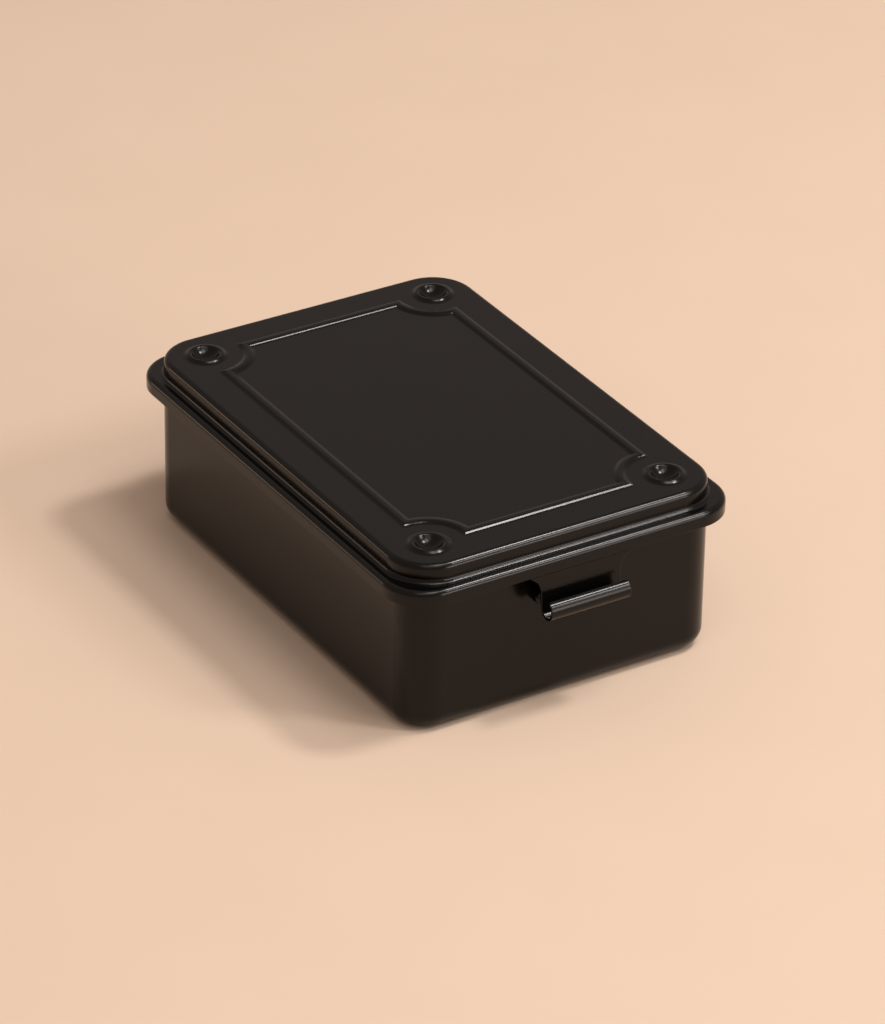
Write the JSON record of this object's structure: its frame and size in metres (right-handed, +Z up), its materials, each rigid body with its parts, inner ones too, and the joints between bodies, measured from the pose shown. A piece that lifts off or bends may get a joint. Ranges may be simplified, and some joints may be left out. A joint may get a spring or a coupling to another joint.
{
  "type": "steel storage box",
  "caption": "Small pressed-steel storage box with a rear-hinged lid, a framed and dimpled top for stacking, and a sprung front tab that clips over a catch.",
  "frame": {"origin": "centre of the flat underside of the body", "axes": "+Z up, +Y towards the hinge, -Y towards the latch tab, X across the box"},
  "size_m": [0.105, 0.1579, 0.0521],
  "materials": {
    "enamelled_steel": "fine satin black baked enamel on drawn steel sheet"
  },
  "bodies": {
    "box": {"body_shell": "enamelled_steel", "hinge_leaf": "enamelled_steel", "hinge_pin": "enamelled_steel"},
    "lid": {"lid_shell": "enamelled_steel"},
    "tab": {"latch_tab": "enamelled_steel"}
  },
  "joints": [
    {"name": "lid_hinge", "type": "hinge", "parent": "box", "child": "lid", "pos_m": [0, 0.0758, 0.0397], "axis": [-1, 0, 0], "range_deg": [0, 110]},
    {"name": "latch_flex", "type": "hinge", "parent": "lid", "child": "tab", "pos_m": [0, -0.07475, 0.0417], "axis": [-1, 0, 0], "range_deg": [0, 8], "stiffness_Nm_per_rad": 0.5}
  ]
}
